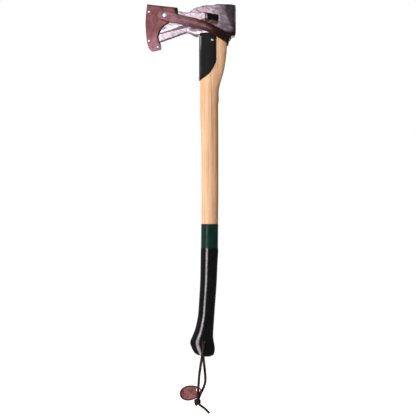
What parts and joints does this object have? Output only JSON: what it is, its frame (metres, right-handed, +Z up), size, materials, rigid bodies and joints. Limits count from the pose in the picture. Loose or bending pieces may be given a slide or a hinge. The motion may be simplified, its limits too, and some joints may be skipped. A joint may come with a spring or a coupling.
{
  "type": "forest axe with blade sheath",
  "caption": "Two-handed forest axe with a wooden handle, steel neck guard, dipped grip, leather blade sheath on a snapped strap, and a leather lanyard.",
  "frame": {"origin": "centre of the hand grip, on the middle plane of the handle", "axes": "+Z up the handle to the head, +X to the poll, the blade points to -X, Y across the cheeks"},
  "size_m": [0.2049, 0.0444, 0.9286],
  "materials": {
    "forged_steel": "forged and ground, satin",
    "ash_wood": "oiled, straight grain",
    "wedge_wood": "raw",
    "bright_steel": "zinc plated",
    "black_steel": "semi-gloss black",
    "green_lacquer": "satin lacquer",
    "black_grip": "dipped, satin",
    "sheath_leather": "oiled",
    "strap_leather": "oiled",
    "lace_leather": "matt",
    "tag_leather": "oiled",
    "dark_rivet": "blackened"
  },
  "bodies": {
    "tool": {"axe_head": "forged_steel", "handle": "ash_wood", "eye_wedge": "wedge_wood", "ring_wedge": "bright_steel", "eye_liner": "black_steel", "guard_sleeve": "black_steel", "guard_bolt": "bright_steel", "guard_nut": "bright_steel", "guard_front_screw": "bright_steel", "green_band": "green_lacquer", "grip_coating": "black_grip", "strap_bight": "strap_leather"},
    "sheath": {"sheath_near_leaf": "sheath_leather", "sheath_far_leaf": "sheath_leather", "sheath_spine": "sheath_leather", "sheath_welt": "sheath_leather", "sheath_rivets": "dark_rivet", "snap_stud_near": "dark_rivet", "snap_stud_far": "dark_rivet"},
    "strap_near": {"strap_near_leg": "strap_leather", "snap_socket_near": "dark_rivet", "snap_cap_near": "dark_rivet"},
    "strap_far": {"strap_far_leg": "strap_leather", "snap_socket_far": "dark_rivet", "snap_cap_far": "dark_rivet"},
    "lanyard": {"lace_in_hole": "lace_leather", "lace_near_strand": "lace_leather", "lace_far_strand": "lace_leather", "lace_tail": "lace_leather", "lanyard_knot": "lace_leather", "leather_tag": "tag_leather"}
  },
  "joints": [
    {"name": "sheath_off", "type": "slide", "parent": "tool", "child": "sheath", "axis": [-0.9918, 0, 0.128], "range_m": [0, 0.07]},
    {"name": "strap_near_open", "type": "hinge", "parent": "tool", "child": "strap_near", "pos_m": [0.04, -0.0219, 0.598], "axis": [0, 0, 1], "range_deg": [0, 115]},
    {"name": "strap_far_open", "type": "hinge", "parent": "tool", "child": "strap_far", "pos_m": [0.04, 0.0219, 0.598], "axis": [0, 0, 1], "range_deg": [-115, 0]},
    {"name": "lanyard_swing", "type": "hinge", "parent": "tool", "child": "lanyard", "pos_m": [-0.0084, 0, -0.0956], "axis": [0, 1, 0], "range_deg": [-50, 50]}
  ],
  "couplings": [
    {"joint": "strap_near_open", "follows": "sheath_off", "rad_per_m": 28.5},
    {"joint": "strap_far_open", "follows": "sheath_off", "rad_per_m": -28.5}
  ]
}
